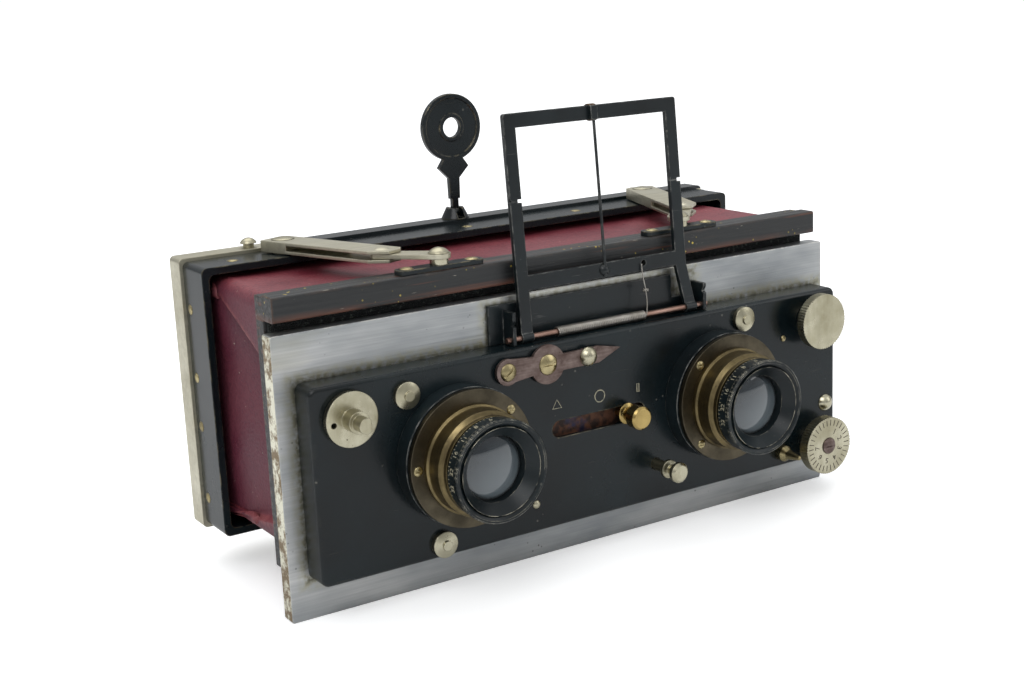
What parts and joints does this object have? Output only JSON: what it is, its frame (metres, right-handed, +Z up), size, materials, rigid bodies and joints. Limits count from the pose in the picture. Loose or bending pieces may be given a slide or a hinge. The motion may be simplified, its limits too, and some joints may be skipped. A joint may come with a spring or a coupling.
{
  "type": "folding stereo camera",
  "caption": "Folding stereo camera with paired lenses, leather bellows, knee struts, a sliding lens board, a sliding shutter, a folding frame finder and a peep sight.",
  "frame": {"origin": "centre of the tripod bush's mouth, on the underside of the rear body, midway between its ends", "axes": "+X to the right seen from the front, +Y towards the focusing screen, so that the lenses look along -Y, and +Z up"},
  "size_m": [0.1362, 0.0675, 0.0904],
  "materials": {
    "black_lacquer": "glossy black lacquer over metal",
    "nickel": "nickel plate",
    "brass": "lacquered brass",
    "bronze": "dull patinated brass",
    "aluminium": "brushed",
    "ebonised_wood": "worn black stain",
    "cloth": "black velvet",
    "maroon_leather": "grained",
    "glass": "coated glass",
    "ground_glass": "ground glass",
    "patina_steel": "brown patina",
    "copper_rod": "oxidised",
    "spring_steel": "wound wire",
    "black_metal": "satin black paint"
  },
  "bodies": {
    "rear_body": {"rear_housing": "black_lacquer", "housing_screws": "nickel", "tripod_bush": "nickel", "rear_rails": "nickel", "bellows": "maroon_leather", "sight_base": "black_metal", "rear_pivot_screws": "nickel"},
    "focusing_screen": {"screen_frame": "black_lacquer", "screen_glass": "ground_glass"},
    "latch": {"latch_button": "nickel"},
    "sight": {"peep_sight": "black_metal"},
    "standard": {"standard_frame": "ebonised_wood", "light_seal": "cloth", "strut_brackets": "black_lacquer", "bracket_screws": "nickel", "front_pivot_studs": "nickel"},
    "front_board": {"front_plate": "aluminium", "shutter_case": "black_lacquer", "panel_studs": "nickel", "pointer_nipple": "brass", "lens_tube_left": "black_lacquer", "lens_tube_right": "black_lacquer", "finder_bracket": "black_metal", "finder_rod": "copper_rod"},
    "lens_unit": {"lens_flange_left": "bronze", "lens_flange_right": "bronze", "flange_screws": "brass", "lens_barrel_left": "brass", "lens_barrel_right": "brass", "lens_cell_left": "black_metal", "lens_cell_right": "black_metal", "lens_glass_left": "glass", "lens_glass_right": "glass"},
    "iris_left": {"iris_ring_left": "black_metal"},
    "iris_right": {"iris_ring_right": "black_metal"},
    "focus_control": {"focus_knob": "nickel", "focus_plug": "black_metal"},
    "tension_control": {"tension_knob": "nickel"},
    "winder": {"winding_spindle": "nickel"},
    "shutter": {"shutter_slider": "brass", "shutter_blade": "black_metal"},
    "release": {"release_button": "nickel"},
    "lever": {"lever_arm": "patina_steel", "lever_screws": "nickel", "lever_dome": "nickel"},
    "finder": {"finder_frame": "black_metal", "finder_bow": "black_metal", "sighting_wire": "black_metal", "finder_spring": "spring_steel"},
    "arm_top_left": {"strut_arm_top_left": "nickel"},
    "link_top_left": {"strut_link_top_left": "nickel"},
    "arm_top_right": {"strut_arm_top_right": "nickel"},
    "link_top_right": {"strut_link_top_right": "nickel"},
    "arm_bottom_left": {"strut_arm_bottom_left": "nickel"},
    "link_bottom_left": {"strut_link_bottom_left": "nickel"},
    "arm_bottom_right": {"strut_arm_bottom_right": "nickel"},
    "link_bottom_right": {"strut_link_bottom_right": "nickel"}
  },
  "joints": [
    {"name": "standard_collapse", "type": "slide", "parent": "rear_body", "child": "standard", "axis": [0, 1, 0], "range_m": [0, 0.0226], "deforming": ["bellows"]},
    {"name": "front_rise", "type": "slide", "parent": "standard", "child": "front_board", "axis": [0, 0, 1], "range_m": [-0.004, 0.002]},
    {"name": "lens_focus", "type": "slide", "parent": "front_board", "child": "lens_unit", "axis": [0, -1, 0], "range_m": [0, 0.0022]},
    {"name": "focus_turn", "type": "hinge", "parent": "front_board", "child": "focus_control", "pos_m": [0.0586, -0.0414, 0.0036], "axis": [0, 1, 0], "range_deg": [0, 270]},
    {"name": "iris_turn_left", "type": "hinge", "parent": "lens_unit", "child": "iris_left", "pos_m": [-0.0314, -0.0544, 0.0196], "axis": [0, 1, 0], "range_deg": [-10, 90]},
    {"name": "iris_turn_right", "type": "hinge", "parent": "lens_unit", "child": "iris_right", "pos_m": [0.0314, -0.0544, 0.0196], "axis": [0, 1, 0], "range_deg": [-10, 90]},
    {"name": "tension_turn", "type": "hinge", "parent": "front_board", "child": "tension_control", "pos_m": [0.0572, -0.0414, 0.0316], "axis": [0, 1, 0], "continuous": true},
    {"name": "winder_turn", "type": "hinge", "parent": "front_board", "child": "winder", "pos_m": [-0.0539, -0.0414, 0.0308], "axis": [0, 1, 0], "continuous": true},
    {"name": "shutter_slide", "type": "slide", "parent": "front_board", "child": "shutter", "axis": [-1, 0, 0], "range_m": [-0.0025, 0.016]},
    {"name": "release_press", "type": "slide", "parent": "front_board", "child": "release", "axis": [0, 1, 0], "range_m": [0, 0.0015], "stiffness_N_per_m": 150, "springref_m": -0.001},
    {"name": "lever_swing", "type": "hinge", "parent": "front_board", "child": "lever", "pos_m": [-0.0112, -0.0421, 0.0334], "axis": [0, 1, 0], "range_deg": [-10, 10]},
    {"name": "finder_fold", "type": "hinge", "parent": "front_board", "child": "finder", "pos_m": [0, -0.0384, 0.0384], "axis": [1, 0, 0], "range_deg": [0, 90], "stiffness_Nm_per_rad": 0.002, "springref_deg": -34.38},
    {"name": "sight_fold", "type": "hinge", "parent": "rear_body", "child": "sight", "pos_m": [-0.001, 0.0076, 0.0566], "axis": [1, 0, 0], "range_deg": [0, 88]},
    {"name": "latch_press", "type": "slide", "parent": "rear_body", "child": "latch", "axis": [0, 0, -1], "range_m": [0, 0.0007], "stiffness_N_per_m": 200, "springref_m": -0.001},
    {"name": "screen_slide", "type": "slide", "parent": "rear_body", "child": "focusing_screen", "axis": [1, 0, 0], "range_m": [0, 0.105]},
    {"name": "arm_fold_top_left", "type": "hinge", "parent": "rear_body", "child": "arm_top_left", "pos_m": [-0.0453, 0.0008, 0.05605], "axis": [0, 0, 1], "range_deg": [0, 58.12]},
    {"name": "link_fold_top_left", "type": "hinge", "parent": "standard", "child": "link_top_left", "pos_m": [-0.0288, -0.0332, 0.05605], "axis": [0, 0, 1], "range_deg": [-105.28, 0]},
    {"name": "arm_fold_top_right", "type": "hinge", "parent": "rear_body", "child": "arm_top_right", "pos_m": [0.0453, 0.0008, 0.05605], "axis": [0, 0, 1], "range_deg": [-58.12, 0]},
    {"name": "link_fold_top_right", "type": "hinge", "parent": "standard", "child": "link_top_right", "pos_m": [0.0288, -0.0332, 0.05605], "axis": [0, 0, 1], "range_deg": [0, 105.28]},
    {"name": "arm_fold_bottom_left", "type": "hinge", "parent": "rear_body", "child": "arm_bottom_left", "pos_m": [-0.0453, 0.0008, -0.00145], "axis": [0, 0, 1], "range_deg": [0, 64.17]},
    {"name": "link_fold_bottom_left", "type": "hinge", "parent": "standard", "child": "link_bottom_left", "pos_m": [-0.0288, -0.0294, -0.00145], "axis": [0, 0, 1], "range_deg": [-89.19, 0]},
    {"name": "arm_fold_bottom_right", "type": "hinge", "parent": "rear_body", "child": "arm_bottom_right", "pos_m": [0.0453, 0.0008, -0.00145], "axis": [0, 0, 1], "range_deg": [-64.17, 0]},
    {"name": "link_fold_bottom_right", "type": "hinge", "parent": "standard", "child": "link_bottom_right", "pos_m": [0.0288, -0.0294, -0.00145], "axis": [0, 0, 1], "range_deg": [0, 89.19]}
  ],
  "couplings": [
    {"joint": "focus_turn", "follows": "lens_focus", "rad_per_m": 2141},
    {"joint": "arm_fold_top_left", "follows": "standard_collapse", "rad_per_m": 44.88},
    {"joint": "link_fold_top_left", "follows": "standard_collapse", "rad_per_m": -81.302},
    {"joint": "arm_fold_top_right", "follows": "standard_collapse", "rad_per_m": -44.88},
    {"joint": "link_fold_top_right", "follows": "standard_collapse", "rad_per_m": 81.302},
    {"joint": "arm_fold_bottom_left", "follows": "standard_collapse", "rad_per_m": 49.553},
    {"joint": "link_fold_bottom_left", "follows": "standard_collapse", "rad_per_m": -68.872},
    {"joint": "arm_fold_bottom_right", "follows": "standard_collapse", "rad_per_m": -49.553},
    {"joint": "link_fold_bottom_right", "follows": "standard_collapse", "rad_per_m": 68.872}
  ]
}
